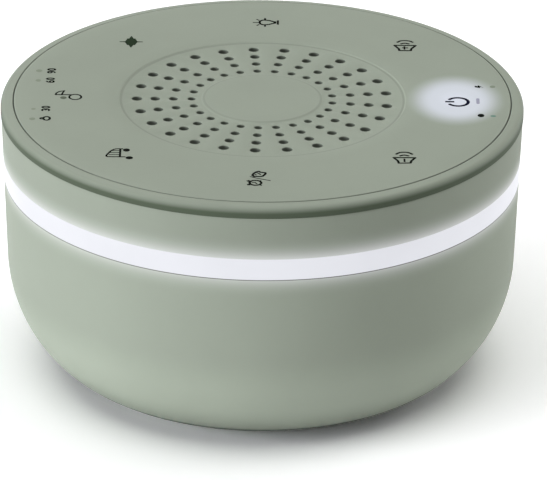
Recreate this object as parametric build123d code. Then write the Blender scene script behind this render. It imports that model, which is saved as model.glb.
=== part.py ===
from build123d import *
import os
from math import cos, radians, sin, sqrt, tan

# A round bedside sound player with a loudspeaker that fires up through a perforated top.
# Sizes are in millimetres. The origin is on the floor at the centre of the foot ring, +Z is up,
# +X points at the power key and +Y at the charging socket.

# Outer form
body_height = 65.5
rim_radius = 60.0
rim_width = 3.0
rim_overhang = 0.12
rim_depth = 2.9
rim_round = 1.5
rim_bevel = 0.12
wall_bevel = 0.12
wall_draft = 1.9
wall = 2.2
belly_radius = 32.0
belly_angle = 42.6
toe_radius = 17.1
foot_proud = 0.8
band_drop = 12.9
band_height = 5.2

# Clearances and joints that many pieces share
seam = 0.25
seam_bevel = 0.2
play = 0.2
screw_play = 0.05
screw_turn = 45.0
post_count = 4
boss_wall = 1.5
boss_root = 0.4
panel_skin = 0.8
overcut = 1.0

# Screws: shank radius, head radius, head height
small_screw = (0.9, 1.8, 1.2)
long_screw = (1.5, 2.6, 2.0)
drive_radius_share = 0.8
drive_depth_share = 0.9

# Top panel and its holes
panel_thickness = 1.6
panel_step = 0.25
recess_inner_radius = 13.3
recess_outer_radius = 32.6
recess_ramp = 0.9
recess_edge = 0.45
hole_rings = 4
holes_per_ring = 25
first_ring_radius = 16.2
ring_step = 4.18
first_hole_diameter = 1.9
hole_growth = 0.2
grille_turn = 180.75
cloth_thickness = 0.3
cloth_margin = 2.2

# Rim skirt and its snap beads
skirt_thickness = 1.4
skirt_depth = 6.9
bead_count = 8
bead_turn = 22.5
bead_width = 9.0
bead_height = 1.0
bead_reach = 0.5

# Control board, keys and lights under the panel
key_count = 8
key_shift = 2.3
guide_height = 2.1
guide_edge_gap = 0.3
control_inner_radius = 37.2
touch_pad_radius = 2.8
touch_pad_bore = 1.8
touch_well_radius = 3.2
power_well_margin = 0.6
diffuser_thickness = 0.9
board_thickness = 1.6
light_well_radius = 1.0
small_light = (1.6, 0.8, 0.6)
wide_light = (3.5, 2.8, 0.8)
power_light_count = 3
board_screw_inset = 3.0
board_screw_turn = 22.5
control_chip_size = (7.0, 7.0, 1.0)
plug_margin = 1.0

# Small lights beside the symbols: distance in from the panel's edge, and sideways place
power_side_lights = [(3.9, 7.8), (4.2, -8.9)]
timer_side_lights = [(5.3, 14.7), (5.1, 9.1), (4.8, -7.3), (4.9, -12.9)]

# Loudspeaker
gasket_height = 2.0
gasket_width = 3.4
flange_radius = 28.6
flange_thickness = 1.2
ear_circle = 33.4
ear_count = 4
seat_depth = 2.2
seat_outer_radius = 27.0
seat_inner_radius = 24.2
basket_gauge = 1.2
shelf_outer_radius = 18.6
shelf_inner_radius = 15.4
shelf_height = 3.4
basket_bore = 9.0
window_count = 4
window_width = 20.0
window_shift = 2.0
surround_gauge = 0.4
roll_radius = 1.8
lip_width = 1.2
cone_gauge = 0.5
cone_depth = 7.2
cap_radius = 9.0
cap_rise = 2.6
cap_gauge = 0.4
coil_gap = 0.4
former_radius = 6.75
former_gauge = 0.25
coil_thickness = 0.55
coil_height = 5.2
spider_gauge = 0.3
spider_waves = 4
spider_wave_height = 0.5
plate_radius = 15.0
plate_thickness = 3.0
magnet_radius = 16.0
magnet_bore = 9.5
magnet_height = 7.0
speaker_drop = 14.6
terminal_size = (8.0, 3.6, 2.0)
terminal_pitch = 4.0

# Light ring behind the band
frame_gauge = 1.5
frame_seat_drop = 2.0
frame_lip = 0.4
frame_web_margin = 1.0
frame_boss_cap = 1.0
ribbon_slot_margin = 2.0
core_gap = 4.7
strip_thickness = 0.4
strip_width = 4.0
band_light_count = 24
ledge_reach = 6.0
ledge_width = 2.5
wall_screw_inset = 3.7
wall_screw_count = 4

# Base cover and foot ring
cover_thickness = 2.4
cover_margin = 2.8
cover_screw_inset = 12.6
cover_boss_rise = 2.0
foot_ring_width = 3.4
foot_ring_margin = 1.6
foot_groove = 0.8

# Posts for the long screws
post_radius = 4.2
post_margin = 4.5
post_head = 4.0
long_screw_bite = 11.0

# Battery
cell_radius = 9.2
cell_length = 65.0
cell_edge = 0.6
cell_gap = 0.8
pad_thickness = 1.0
pad_width = 8.0
pad_depth = 14.7
pad_height = 5.0
pad_spread = 25.0
strap_gauge = 1.4
strap_width = 14.0
strap_foot = 6.2
strap_boss_height = 3.0

# Main board and charging socket
main_board_height = 21.0
main_board_gap = 0.5
board_front_gap = 1.0
board_screw_front = 9.0
board_screw_side = 3.0
board_screw_spacing = 19.0
board_screw_bite = 7.8
board_tab_margin = 1.5
chip_height = 1.2
chip_row = 12.2
player_size = 9.0
amplifier_size = 5.0
amplifier_side = 9.5
charger_size = 4.4
charger_side = 8.6
socket_width = 8.94
socket_height = 3.26
socket_length = 7.35
socket_gauge = 0.3
socket_back = 0.9
socket_recess = 0.8
port_play = 0.35
port_inward = 8.0
port_outward = 4.0
tongue_size = (6.6, 0.7, 5.6)

# Plugs, ribbon and leads
plug_block = (8.0, 4.0, 4.0)
battery_plug_width = 5.6
battery_plug_front = 3.8
ribbon = (7.0, 0.5)
lead_radius = 0.7
lead_bend = 0.45
lead_bow = 5.5
speaker_lead_bow = 2.5
battery_lead_side = 1.0
band_lead_turn = 75.0
band_lead_rise = 1.0
band_lead_drop = 6.0

# Heights that follow from the sizes
shell_bottom = foot_proud
panel_bottom = body_height - panel_thickness
rim_bottom = body_height - rim_depth
band_top = body_height - band_drop
band_bottom = band_top - band_height
cover_top = shell_bottom + cover_thickness
floor_top = cover_top + wall
frame_seat = band_bottom - frame_seat_drop
frame_web_top = frame_seat + frame_gauge
frame_top = band_top + frame_lip + frame_gauge
ledge_top = frame_top + frame_gauge
strip_bottom = (band_top + band_bottom - strip_width) / 2
guide_bottom = panel_bottom - guide_height
board_bottom = guide_bottom - board_thickness
flange_top = panel_bottom - cloth_thickness - gasket_height
flange_bottom = flange_top - flange_thickness
seat_height = flange_top - seat_depth
cone_neck = seat_height - cone_gauge - cone_depth
plate_top = flange_top - speaker_drop
plate_bottom = plate_top - plate_thickness
magnet_bottom = plate_bottom - magnet_height
shelf_top = plate_top + shelf_height
shelf_bottom = shelf_top - basket_gauge
terminal_bottom = shelf_bottom - terminal_size[2]
coil_bottom = (plate_top + plate_bottom - coil_height) / 2
skirt_bottom = panel_bottom - skirt_depth
bead_bottom = (skirt_bottom + rim_bottom - bead_height) / 2
strap_base = floor_top + strap_boss_height
cell_height = floor_top + pad_thickness + cell_radius
main_board_top = main_board_height + board_thickness
main_plug_top = main_board_top + plug_block[2]
socket_axis = main_board_top + socket_height / 2

# The bowl: a drafted wall, a belly arc and a toe arc that meet it and each other in line
draft = radians(wall_draft)
toe_turn = radians(wall_draft + belly_angle)
wall_top_radius = rim_radius - rim_overhang
knee_height = shell_bottom + toe_radius * (1 - sin(toe_turn)) + belly_radius * (sin(toe_turn) - sin(draft))


def wall_radius(height):
    return wall_top_radius - (rim_bottom - height) * tan(draft)


belly_centre_radius = wall_radius(knee_height) - belly_radius * cos(draft)
belly_centre = (belly_centre_radius, knee_height + belly_radius * sin(draft))
base_radius = belly_centre[0] + (belly_radius - toe_radius) * cos(toe_turn)
toe_centre = (base_radius, shell_bottom + toe_radius)
bore_radius = wall_radius(band_bottom) - wall


def belly_point(angle, inset):
    reach = belly_radius - inset
    return belly_centre[0] + reach * cos(angle), belly_centre[1] - reach * sin(angle)


def toe_point(angle, inset):
    reach = toe_radius - inset
    return toe_centre[0] + reach * cos(angle), toe_centre[1] - reach * sin(angle)


def bowl_radius(height, inset):
    """Radius of the bowl's surface, moved in by the inset, at a height on its belly."""
    rise = belly_centre[1] - height
    return belly_centre[0] + sqrt((belly_radius - inset) ** 2 - rise ** 2)


def polar(radius, angle):
    return radius * cos(radians(angle)), radius * sin(radians(angle))


def around(count, radius, turn=0.0):
    return [polar(radius, turn + 360 * k / count) for k in range(count)]


# Places in the casing that follow from the sizes
panel_radius = rim_radius - rim_width
skirt_outer = bore_radius - play
skirt_inner = skirt_outer - skirt_thickness
cover_radius = base_radius - cover_margin
cover_screws = around(post_count, cover_radius - cover_screw_inset, screw_turn)
post_circle = cover_radius - post_margin
posts = around(post_count, post_circle, screw_turn)
post_reach = polar(post_circle, screw_turn)[0]
small_boss = small_screw[0] + boss_wall
long_boss = long_screw[0] + boss_wall
small_pilot = small_screw[0] + screw_play
small_hole = small_screw[0] + play

# Places on the control ring
control_outer = skirt_inner - guide_edge_gap
key_radius = (control_inner_radius + panel_radius) / 2 - key_shift
keys = around(key_count, key_radius)
power_well_radius = key_radius - control_inner_radius - power_well_margin
power_light_circle = power_well_radius / 2
light_spots = [(panel_radius - inset, y) for inset, y in power_side_lights]
light_spots += [(inset - panel_radius, y) for inset, y in timer_side_lights]
sound_light = (-key_radius, 0.0)
board_screws = around(post_count, control_inner_radius + board_screw_inset, board_screw_turn)
ribbon_y = control_inner_radius + plug_block[1] / 2 + plug_margin

# Places in the loudspeaker
ears = around(ear_count, ear_circle, screw_turn)
gasket_outer = flange_radius - play
cone_edge = seat_inner_radius - 2 * roll_radius
cone_lip = cone_edge - lip_width
terminal_y = shelf_inner_radius + basket_gauge + play + terminal_size[1] / 2

# Places on the light ring
core_radius = bore_radius - core_gap
strip_outer = core_radius + strip_thickness
wall_screws_at = around(wall_screw_count, core_radius - wall_screw_inset, screw_turn)
frame_web_bore = post_circle - long_boss - frame_web_margin
band_lead_x, band_lead_y = polar(strip_outer + lead_radius, band_lead_turn)

# Places of the battery and on the main board
cell_y = -(post_reach - post_radius - cell_gap - cell_radius)
strap_reach = cell_radius + play + strap_gauge
strap_feet = [(0, cell_y - strap_reach - strap_foot / 2), (0, cell_y + strap_reach + strap_foot / 2)]
main_board_front = cell_y + strap_reach + board_front_gap
main_board_half = post_reach - post_radius - main_board_gap
main_board_reach = bowl_radius(main_board_height, wall) - main_board_gap
main_board_rear = sqrt(main_board_reach ** 2 - main_board_half ** 2) - main_board_gap
main_screw_side = main_board_half - board_screw_side
main_screw_row = main_board_front + board_screw_front
main_screw_rows = (main_screw_row, main_screw_row + board_screw_spacing)
main_screws = [(x, y) for x in (-main_screw_side, main_screw_side) for y in main_screw_rows]
rear_plug_y = main_board_rear - plug_block[1] / 2 - main_board_gap
battery_plug_x = plug_block[1] / 2 + main_board_gap - main_board_half
battery_plug_y = main_board_front + battery_plug_front
socket_mouth = bowl_radius(socket_axis, 0) - socket_recess


# Helpers
def at(x, y, z, shape):
    return Pos(x, y, z) * shape


def post(x, y, radius, low, high):
    return at(x, y, (low + high) / 2, Cylinder(radius, high - low))


def disc(radius, low, high):
    return post(0, 0, radius, low, high)


def ring(outer, inner, low, high):
    return disc(outer, low, high) - disc(inner, low - overcut, high + overcut)


def block(x, y, z, width, depth, height):
    """A block centred on x and y that stands on z."""
    return at(x, y, z + height / 2, Box(width, depth, height))


def posts_at(places, radius, low, high):
    return [post(x, y, radius, low, high) for x, y in places]


def repeated(count, turn, shape):
    return [Rot(0, 0, turn + 360 * k / count) * shape for k in range(count)]


def polygon_edges(points):
    corners = [(r, 0, z) for r, z in points]
    return [Line(a, b) for a, b in zip(corners, corners[1:])]


def arc_through(points):
    return ThreePointArc(*[(r, 0, z) for r, z in points])


def arc_edge(point, first, last, inset):
    return arc_through([point(angle, inset) for angle in (first, (first + last) / 2, last)])


def turned_edges(edges):
    return revolve(make_face(edges), Axis.Z)


def turned(points):
    """A solid of revolution from a closed outline of radius and height."""
    return turned_edges(polygon_edges(points + points[:1]))


def screw(x, y, seat, bite, size, up):
    """A pan-head screw whose head rests on the seat, with its shank going up or down from it."""
    shank, head, height = size
    way = 1 if up else -1
    cap = at(x, y, seat - way * height / 2, Cylinder(head, height))
    stem = at(x, y, seat + way * bite / 2, Cylinder(shank, bite))
    drive = Cylinder(shank * drive_radius_share, height * drive_depth_share)
    return cap + stem - at(x, y, seat - way * height, drive)


def lead(points):
    """A wire along straight runs, joined by arcs as large as the shorter run at each corner allows."""
    corners = [Vector(*point) for point in points]
    bends = []
    for before, corner, after in zip(corners, corners[1:], corners[2:]):
        half_turn = radians((corner - before).get_angle(after - corner)) / 2
        shorter = min((corner - before).length, (after - corner).length)
        bends.append(lead_bend * shorter / tan(half_turn))
    path = FilletPolyline(*corners, radius=bends)
    return sweep(Plane(path @ 0, z_dir=path % 0) * Circle(lead_radius), path)


def export(name, shape):
    shape = Compound(children=list(shape)) if isinstance(shape, (list, tuple)) else shape
    export_step(shape, f"parts/{name}.step")


# Casing
def top_panel():
    """The disc in the rim, with a shallow ring-shaped recess that holds the sound holes."""
    low = body_height - panel_step
    panel = turned([
        (0, panel_bottom),
        (panel_radius, panel_bottom),
        (panel_radius, body_height - seam_bevel),
        (panel_radius - seam_bevel, body_height),
        (recess_outer_radius + recess_edge, body_height),
        (recess_outer_radius, low),
        (recess_inner_radius + recess_ramp, low),
        (recess_inner_radius, body_height),
        (0, body_height),
    ])
    for boss in posts_at(ears, small_boss, flange_top, panel_bottom + boss_root):
        panel += boss
    for boss in posts_at(board_screws, small_boss, guide_bottom, panel_bottom + boss_root):
        panel += boss
    cuts = posts_at(ears, small_pilot, flange_top - overcut, body_height - panel_skin)
    cuts += posts_at(board_screws, small_pilot, guide_bottom - overcut, body_height - panel_skin)
    for k in range(hole_rings):
        hole = (first_hole_diameter + k * hole_growth) / 2
        places = around(holes_per_ring, first_ring_radius + k * ring_step, grille_turn)
        cuts += posts_at(places, hole, panel_bottom - overcut, body_height + overcut)
    return panel - cuts


def top_rim():
    """The rim round the panel: a rounded edge, and a skirt that clips into the wall."""
    seat = panel_radius + seam
    shoulder = (rim_radius - rim_round, body_height)
    crown = (rim_radius, body_height - rim_round)
    bulge = rim_round * (1 - sqrt(0.5))
    knee = (rim_radius - bulge, body_height - bulge)
    edges = [arc_through([shoulder, knee, crown])]
    edges += polygon_edges([
        crown,
        (rim_radius, rim_bottom + rim_bevel),
        (rim_radius - rim_bevel, rim_bottom),
        (skirt_outer, rim_bottom),
        (skirt_outer, skirt_bottom),
        (skirt_inner, skirt_bottom),
        (skirt_inner, panel_bottom),
        (seat, panel_bottom),
        (seat, body_height - seam_bevel),
        (seat + seam_bevel, body_height),
        shoulder,
    ])
    rim = turned_edges(edges)
    bead = block(skirt_outer, 0, bead_bottom, 2 * bead_reach, bead_width, bead_height)
    for piece in repeated(bead_count, bead_turn, bead):
        rim += piece
    return rim


def upper_wall():
    """The wall between the rim and the light band, with a ledge inside that rests on the light frame."""
    ledge_radius = core_radius - ledge_reach
    shell = turned([
        (wall_radius(band_top), band_top),
        (wall_radius(rim_bottom - wall_bevel), rim_bottom - wall_bevel),
        (wall_top_radius - wall_bevel, rim_bottom),
        (bore_radius, rim_bottom),
        (bore_radius, ledge_top),
        (ledge_radius, ledge_top),
        (ledge_radius, frame_top),
        (bore_radius, frame_top),
        (bore_radius, band_top),
    ])
    window = block(
        bore_radius, 0, bead_bottom - play,
        2 * (bead_reach + play), bead_width + 2 * play, bead_height + 2 * play,
    )
    cuts = repeated(bead_count, bead_turn, window)
    cuts += posts_at(wall_screws_at, small_hole, frame_top - overcut, ledge_top + overcut)
    return shell - cuts


def light_band():
    """The translucent ring that glows, flush with the wall above and the bowl below."""
    return turned([
        (wall_radius(band_bottom), band_bottom),
        (wall_radius(band_top), band_top),
        (bore_radius, band_top),
        (bore_radius, band_bottom),
    ])


def lower_housing():
    """The bowl: one shell with a recess for the base cover, posts, bosses and the socket's hole."""
    recess = cover_radius + seam
    step = recess + wall / 2
    under = frame_seat - frame_gauge - ledge_width
    wall_foot = belly_point(draft, 0)
    inner_foot = belly_point(draft, wall)
    edges = polygon_edges([(wall_radius(band_bottom), band_bottom), wall_foot])
    edges.append(arc_edge(belly_point, draft, toe_turn, 0))
    edges.append(arc_edge(toe_point, toe_turn, radians(90), 0))
    edges += polygon_edges([
        (base_radius, shell_bottom), (recess, shell_bottom), (recess, cover_top), (0, cover_top),
        (0, floor_top), (step, floor_top), (step, shell_bottom + wall), (base_radius, shell_bottom + wall),
    ])
    edges.append(arc_edge(toe_point, radians(90), toe_turn, wall))
    edges.append(arc_edge(belly_point, toe_turn, draft, wall))
    edges += polygon_edges([
        inner_foot,
        (inner_foot[0] + (under - inner_foot[1]) * tan(draft), under),
        (bore_radius - ledge_width, frame_seat - frame_gauge),
        (bore_radius - ledge_width, frame_seat),
        (bore_radius, frame_seat),
        (bore_radius, band_bottom),
        (wall_radius(band_bottom), band_bottom),
    ])
    shell = turned_edges(edges)
    for stand in housing_stands():
        shell += stand & stand_room(step, inner_foot)
    return shell - housing_cuts()


def stand_room(step, inner_foot):
    """The bowl's inside out to the middle of its wall, where posts and bosses end."""
    middle = wall / 2
    edges = polygon_edges([
        (base_radius, shell_bottom + middle), (step, shell_bottom + middle), (step, cover_top + middle),
        (0, cover_top + middle), (0, frame_seat), (inner_foot[0], frame_seat), belly_point(draft, middle),
    ])
    edges.append(arc_edge(belly_point, draft, toe_turn, middle))
    edges.append(arc_edge(toe_point, toe_turn, radians(90), middle))
    return turned_edges(edges)


def housing_stands():
    stands = posts_at(posts, post_radius, cover_top, frame_seat)
    stands += posts_at(cover_screws, small_boss, cover_top, floor_top + cover_boss_rise)
    stands += posts_at(strap_feet, small_boss, cover_top, strap_base)
    return stands + posts_at(main_screws, small_boss, shell_bottom, main_board_height)


def housing_cuts():
    head_seat = frame_seat - post_head
    cuts = posts_at(posts, long_screw[1] + play, cover_top - overcut, head_seat)
    cuts += posts_at(posts, long_screw[0] + play, head_seat - overcut, frame_seat + overcut)
    cuts += posts_at(cover_screws, small_pilot, cover_top - overcut, floor_top + cover_boss_rise - panel_skin)
    cuts += posts_at(strap_feet, small_pilot, cover_top + panel_skin, strap_base + overcut)
    cuts += posts_at(main_screws, small_pilot, main_board_top - board_screw_bite - overcut, main_board_top)
    port = SlotOverall(socket_width + 2 * port_play, socket_height + 2 * port_play)
    opening = Rot(-90, 0, 0) * extrude(port, port_inward + port_outward)
    cuts.append(at(0, socket_mouth - port_inward, socket_axis, opening))
    return cuts


def base_cover():
    """The plate let into the underside, with a groove for the foot ring."""
    head_hole = small_screw[1] + 2 * play
    head_seat = shell_bottom + small_screw[2] + play
    cuts = [foot_shape(0)]
    cuts += posts_at(cover_screws, small_hole, shell_bottom - overcut, cover_top + overcut)
    cuts += posts_at(cover_screws, head_hole, shell_bottom - overcut, head_seat)
    return disc(cover_radius, shell_bottom, cover_top) - cuts


def foot_shape(gap):
    outer = cover_radius - foot_ring_margin
    return ring(outer - gap, outer - foot_ring_width + gap, 0, shell_bottom + foot_groove)


def foot_ring():
    return foot_shape(screw_play)


def base_screws():
    seat = shell_bottom + small_screw[2] + play
    bite = floor_top + cover_boss_rise - 2 * panel_skin - seat
    return [screw(x, y, seat, bite, small_screw, True) for x, y in cover_screws]


def housing_screws():
    seat = frame_seat - post_head
    return [screw(x, y, seat, long_screw_bite, long_screw, True) for x, y in posts]


# Loudspeaker, from the cloth down
def grille_cloth():
    return disc(gasket_outer + cloth_margin, panel_bottom - cloth_thickness, panel_bottom)


def speaker_gasket():
    return ring(gasket_outer, gasket_outer - gasket_width, flange_top, flange_top + gasket_height)


def speaker_frame():
    """The pressed basket: flange with screw ears, surround seat, spider shelf and plate ring."""
    seat_wall = seat_outer_radius + basket_gauge
    seat_under = seat_height - basket_gauge
    can = shelf_inner_radius + basket_gauge
    lift = plate_top + basket_gauge
    basket = turned([
        (seat_outer_radius, flange_top), (flange_radius, flange_top), (flange_radius, flange_bottom),
        (seat_wall, flange_bottom), (seat_wall, seat_under),
        (seat_inner_radius + basket_gauge, seat_under), (shelf_outer_radius + basket_gauge, shelf_bottom),
        (can, shelf_bottom), (can, plate_top),
        (basket_bore, plate_top), (basket_bore, lift), (shelf_inner_radius, lift),
        (shelf_inner_radius, shelf_top), (shelf_outer_radius, shelf_top),
        (seat_inner_radius, seat_height - basket_gauge / 2),
        (seat_inner_radius, seat_height), (seat_outer_radius, seat_height),
    ])
    web = ear_circle - seat_outer_radius - basket_gauge / 2
    ear = block(ear_circle - web / 2, 0, flange_bottom, web, 2 * small_boss, flange_thickness)
    ear += post(ear_circle, 0, small_boss, flange_bottom, flange_top)
    for piece in repeated(ear_count, screw_turn, ear):
        basket += piece
    low = shelf_top + basket_gauge / 2
    high = seat_height - 2 * basket_gauge
    reach = seat_outer_radius - shelf_inner_radius
    window = block(shelf_inner_radius + reach / 2 + window_shift, 0, low, reach, window_width, high - low)
    cuts = repeated(window_count, 0, window)
    cuts += posts_at(ears, small_hole, flange_bottom - overcut, flange_top + overcut)
    return basket - cuts


def speaker_screws():
    bite = body_height - 2 * panel_skin - flange_bottom
    return [screw(x, y, flange_bottom, bite, small_screw, True) for x, y in ears]


def speaker_terminal():
    return block(0, terminal_y, terminal_bottom, *terminal_size)


def speaker_top_plate():
    return ring(plate_radius, former_radius + coil_thickness + coil_gap, plate_bottom, plate_top)


def speaker_magnet():
    return ring(magnet_radius, magnet_bore, magnet_bottom, plate_bottom)


def speaker_yoke():
    pole = former_radius - former_gauge - coil_gap
    plate = disc(plate_radius, magnet_bottom - plate_thickness, magnet_bottom)
    return plate + disc(pole, magnet_bottom, plate_top)


def speaker_cone():
    """The paper cone: a flat lip under the surround, a slope and a neck round the coil former."""
    top = seat_height
    return turned([
        (cone_edge, top), (cone_edge, top - cone_gauge), (cone_lip, top - cone_gauge),
        (former_radius, cone_neck), (former_radius, cone_neck + cone_gauge), (cone_lip - cone_gauge / 2, top),
    ])


def dust_cap():
    """A shallow dome that rests on the cone's slope."""
    slope = cone_depth / (cone_lip - former_radius)
    low = seat_height - (cone_lip - cap_radius) * slope + screw_play
    ball = (cap_radius ** 2 + cap_rise ** 2) / (2 * cap_rise)
    middle = low + cap_rise - ball
    shell = at(0, 0, middle, Sphere(ball)) - at(0, 0, middle, Sphere(ball - cap_gauge))
    return shell & disc(2 * cap_radius, low, low + 2 * cap_rise)


def coil_former():
    return ring(former_radius, former_radius - former_gauge, coil_bottom - cone_gauge, cone_neck + cone_gauge)


def voice_coil():
    return ring(former_radius + coil_thickness, former_radius, coil_bottom, coil_bottom + coil_height)


def cone_surround():
    """The rubber half roll between the cone's lip and the basket's seat."""
    middle = seat_inner_radius - roll_radius
    foot = seat_height
    top = foot + surround_gauge
    inner = roll_radius - surround_gauge
    run = sqrt(roll_radius ** 2 - surround_gauge ** 2)
    edges = polygon_edges([(cone_lip, foot), (middle - inner, foot)])
    edges.append(arc_through([(middle - inner, foot), (middle, foot + inner), (middle + inner, foot)]))
    edges += polygon_edges([
        (middle + inner, foot), (seat_outer_radius - play, foot),
        (seat_outer_radius - play, top), (middle + run, top),
    ])
    edges.append(arc_through([(middle + run, top), (middle, foot + roll_radius), (middle - run, top)]))
    edges += polygon_edges([(middle - run, top), (cone_lip, top), (cone_lip, foot)])
    return turned_edges(edges)


def coil_spider():
    """The corrugated cloth disc that centres the coil."""
    lip = shelf_inner_radius + play
    span = lip - former_radius
    steps = 2 * spider_waves
    wave = [(lip - span * k / steps, shelf_top + spider_wave_height * (k % 2)) for k in range(steps + 1)]
    lower = [(shelf_outer_radius - 2 * play, shelf_top)] + wave
    upper = [(r, z + spider_gauge) for r, z in reversed(lower)]
    return turned(lower + upper)


# Keys and lights under the panel
def icon_guide():
    """The dark ring that keeps the light of each window and of the power key apart."""
    low = guide_bottom - overcut
    high = panel_bottom + overcut
    cuts = [post(key_radius, 0, power_well_radius, low, high)]
    cuts += posts_at(keys[1:], touch_well_radius, low, high)
    cuts += posts_at(light_spots, light_well_radius, low, high)
    cuts += posts_at(board_screws, small_boss + play, low, high)
    return ring(control_outer, control_inner_radius, guide_bottom, panel_bottom) - cuts


def control_board():
    board = ring(control_outer, control_inner_radius, board_bottom, guide_bottom)
    return board - posts_at(board_screws, small_hole, board_bottom - overcut, guide_bottom + overcut)


def control_board_screws():
    bite = body_height - 2 * panel_skin - board_bottom
    return [screw(x, y, board_bottom, bite, small_screw, True) for x, y in board_screws]


def touch_pads():
    """Rings of conductive foam between the board and the panel, one under each key."""
    pad = ring(touch_pad_radius, touch_pad_bore, guide_bottom, panel_bottom)
    return [at(x, y, 0, pad) for x, y in keys[1:]]


def power_diffuser():
    return post(key_radius, 0, power_well_radius - play, panel_bottom - diffuser_thickness, panel_bottom)


def power_lights():
    places = around(power_light_count, power_light_circle)
    return [block(key_radius + x, y, guide_bottom, *small_light) for x, y in places]


def indicator_lights():
    return [block(x, y, guide_bottom, *small_light) for x, y in light_spots + [sound_light]]


def control_plug():
    return block(0, ribbon_y, board_bottom - plug_block[2], *plug_block)


def control_chip():
    return block(-key_radius, 0, board_bottom - control_chip_size[2], *control_chip_size)


# Light ring
def light_frame():
    """The white ring that carries the light strip, with a web that the posts screw to."""
    outer = bore_radius - play
    frame = turned([
        (frame_web_bore, frame_seat), (outer, frame_seat), (outer, frame_web_top),
        (core_radius, frame_web_top), (core_radius, frame_top - frame_gauge),
        (outer, frame_top - frame_gauge), (outer, frame_top),
        (core_radius - frame_gauge, frame_top), (core_radius - frame_gauge, frame_web_top),
        (frame_web_bore, frame_web_top),
    ])
    root = frame_web_top - boss_root
    hole_top = frame_seat + long_screw_bite - post_head
    for boss in posts_at(posts, long_boss, root, hole_top + frame_boss_cap):
        frame += boss
    for boss in posts_at(wall_screws_at, small_boss, root, frame_top):
        frame += boss
    slot_width = ribbon[0] + 2 * ribbon_slot_margin
    slot_depth = ribbon[1] + 2 * ribbon_slot_margin
    cuts = posts_at(posts, long_screw[0] + screw_play, frame_seat - overcut, hole_top)
    cuts += posts_at(wall_screws_at, small_pilot, frame_web_top + frame_gauge, frame_top + overcut)
    cuts.append(block(0, ribbon_y, frame_seat - overcut, slot_width, slot_depth, frame_gauge + 2 * overcut))
    lead_hole = lead_radius + 2 * play
    cuts.append(post(band_lead_x, band_lead_y, lead_hole, frame_seat - overcut, frame_web_top + overcut))
    return frame - cuts


def wall_screws():
    bite = ledge_top - frame_web_top - frame_gauge - panel_skin
    return [screw(x, y, ledge_top, bite, small_screw, False) for x, y in wall_screws_at]


def light_strip():
    return ring(strip_outer, core_radius, strip_bottom, strip_bottom + strip_width)


def band_lights():
    width, depth, height = wide_light
    low = strip_bottom + (strip_width - depth) / 2
    chip = block(strip_outer + height / 2, 0, low, height, width, depth)
    return repeated(band_light_count, 180 / band_light_count, chip)


def band_lead():
    x = band_lead_x
    return lead([
        (x, band_lead_y, strip_bottom + band_lead_rise),
        (x, band_lead_y, frame_seat - band_lead_drop),
        (x, rear_plug_y, main_plug_top + band_lead_drop),
        (x, rear_plug_y, main_plug_top),
    ])


# Battery
def battery_cell():
    cell = Rot(0, 90, 0) * Cylinder(cell_radius, cell_length)
    return at(0, cell_y, cell_height, fillet(cell.edges().filter_by(GeomType.CIRCLE), cell_edge))


def battery_pads():
    hollow = at(0, cell_y, cell_height, Rot(0, 90, 0) * Cylinder(cell_radius + screw_play, cell_length))
    places = (-pad_spread, pad_spread)
    return [block(x, cell_y, floor_top, pad_width, pad_depth, pad_height) - hollow for x in places]


def battery_strap():
    """A bridge over the cell that two screws hold to bosses in the bowl."""
    inner = strap_reach - strap_gauge
    crest = cell_height + strap_reach
    through = strap_width + 2 * overcut
    strap = block(0, cell_y, strap_base, strap_width, 2 * strap_reach, crest - strap_base)
    strap += block(0, cell_y, strap_base, strap_width, 2 * (strap_reach + strap_foot), strap_gauge)
    strap -= block(0, cell_y, strap_base - overcut, through, 2 * inner, cell_height - strap_base + overcut)
    strap -= at(0, cell_y, cell_height, Rot(0, 90, 0) * Cylinder(inner, through))
    hole_top = strap_base + strap_gauge + overcut
    return strap - posts_at(strap_feet, small_hole, strap_base - overcut, hole_top)


def battery_strap_screws():
    seat = strap_base + strap_gauge
    bite = seat - (cover_top + 2 * panel_skin)
    return [screw(x, y, seat, bite, small_screw, False) for x, y in strap_feet]


def battery_lead():
    """The lead leaves the cell's end, turns along it and runs across to its plug."""
    y = battery_plug_y - battery_lead_side
    height = main_board_top + plug_block[2] / 2
    start = -cell_length / 2
    side = start - lead_bow
    return lead([
        (start, cell_y, cell_height),
        (side, cell_y, cell_height),
        (side, (cell_y + y) / 2, (cell_height + height) / 2),
        (start, y, height),
        (battery_plug_x - plug_block[1] / 2, y, height),
    ])


# Main board
def main_board():
    half = main_board_half
    tab = socket_width / 2 + board_tab_margin
    tip = sqrt(main_board_reach ** 2 - tab ** 2)
    outline = Polyline(
        (-half, main_board_front), (half, main_board_front), (half, main_board_rear),
        (tab, main_board_rear), (tab, tip), (-tab, tip), (-tab, main_board_rear), (-half, main_board_rear),
        close=True,
    )
    board = at(0, 0, main_board_height, extrude(make_face(outline), board_thickness))
    return board - posts_at(main_screws, small_hole, main_board_height - overcut, main_board_top + overcut)


def main_board_screws():
    return [screw(x, y, main_board_top, board_screw_bite, small_screw, False) for x, y in main_screws]


def main_chips():
    """The player and the amplifier in front of the ribbon's plug, and the charger beside it."""
    row = ribbon_y - chip_row
    return [
        block(0, row, main_board_top, player_size, player_size, chip_height),
        block(amplifier_side, row, main_board_top, amplifier_size, amplifier_size, chip_height),
        block(-charger_side, ribbon_y, main_board_top, charger_size, charger_size, chip_height),
    ]


def socket_shell():
    """The metal shell of the charging socket, closed at its inner end."""
    outer = SlotOverall(socket_width, socket_height)
    inner = SlotOverall(socket_width - 2 * socket_gauge, socket_height - 2 * socket_gauge)
    body = Rot(-90, 0, 0) * extrude(outer, socket_length)
    bore = at(0, socket_back, 0, Rot(-90, 0, 0) * extrude(inner, socket_length))
    return at(0, socket_mouth - socket_length, socket_axis, body - bore)


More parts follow.
